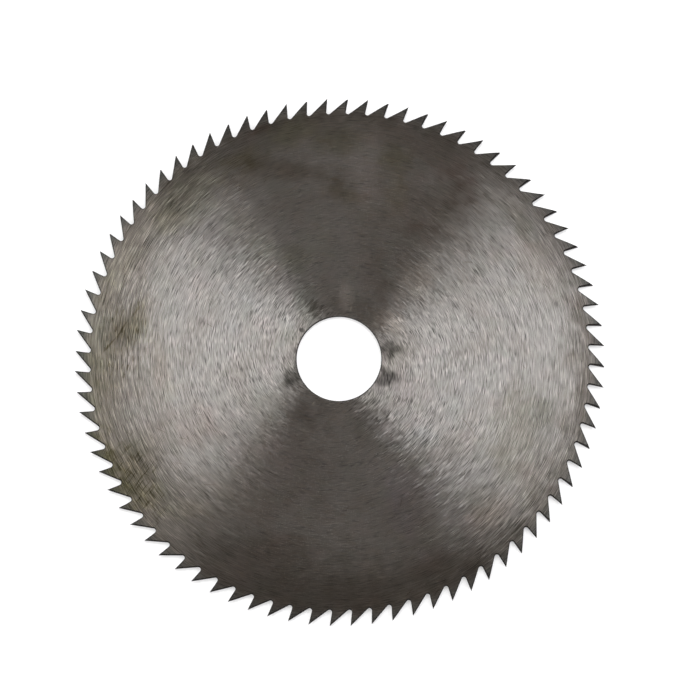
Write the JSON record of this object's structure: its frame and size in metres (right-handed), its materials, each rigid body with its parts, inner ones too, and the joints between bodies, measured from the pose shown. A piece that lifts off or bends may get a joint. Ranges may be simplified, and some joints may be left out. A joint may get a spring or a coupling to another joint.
{
  "type": "circular saw blade",
  "caption": "Flat steel disc with a round arbor hole and a rim of fine hooked teeth, bent alternately up and down, for cutting wood.",
  "frame": {"origin": "centre of the bore, halfway through the plate", "axes": "+Z along the bore's axis, out of the side from which the teeth point clockwise; one tooth tip lies on each of +X, +Y, -X and -Y"},
  "size_m": [0.2, 0.2, 0.0026],
  "materials": {
    "ground_steel": "ground with fine concentric marks, dull, with light stains and scratches from use"
  },
  "bodies": {
    "root": {"saw_blade": "ground_steel"}
  },
  "joints": []
}
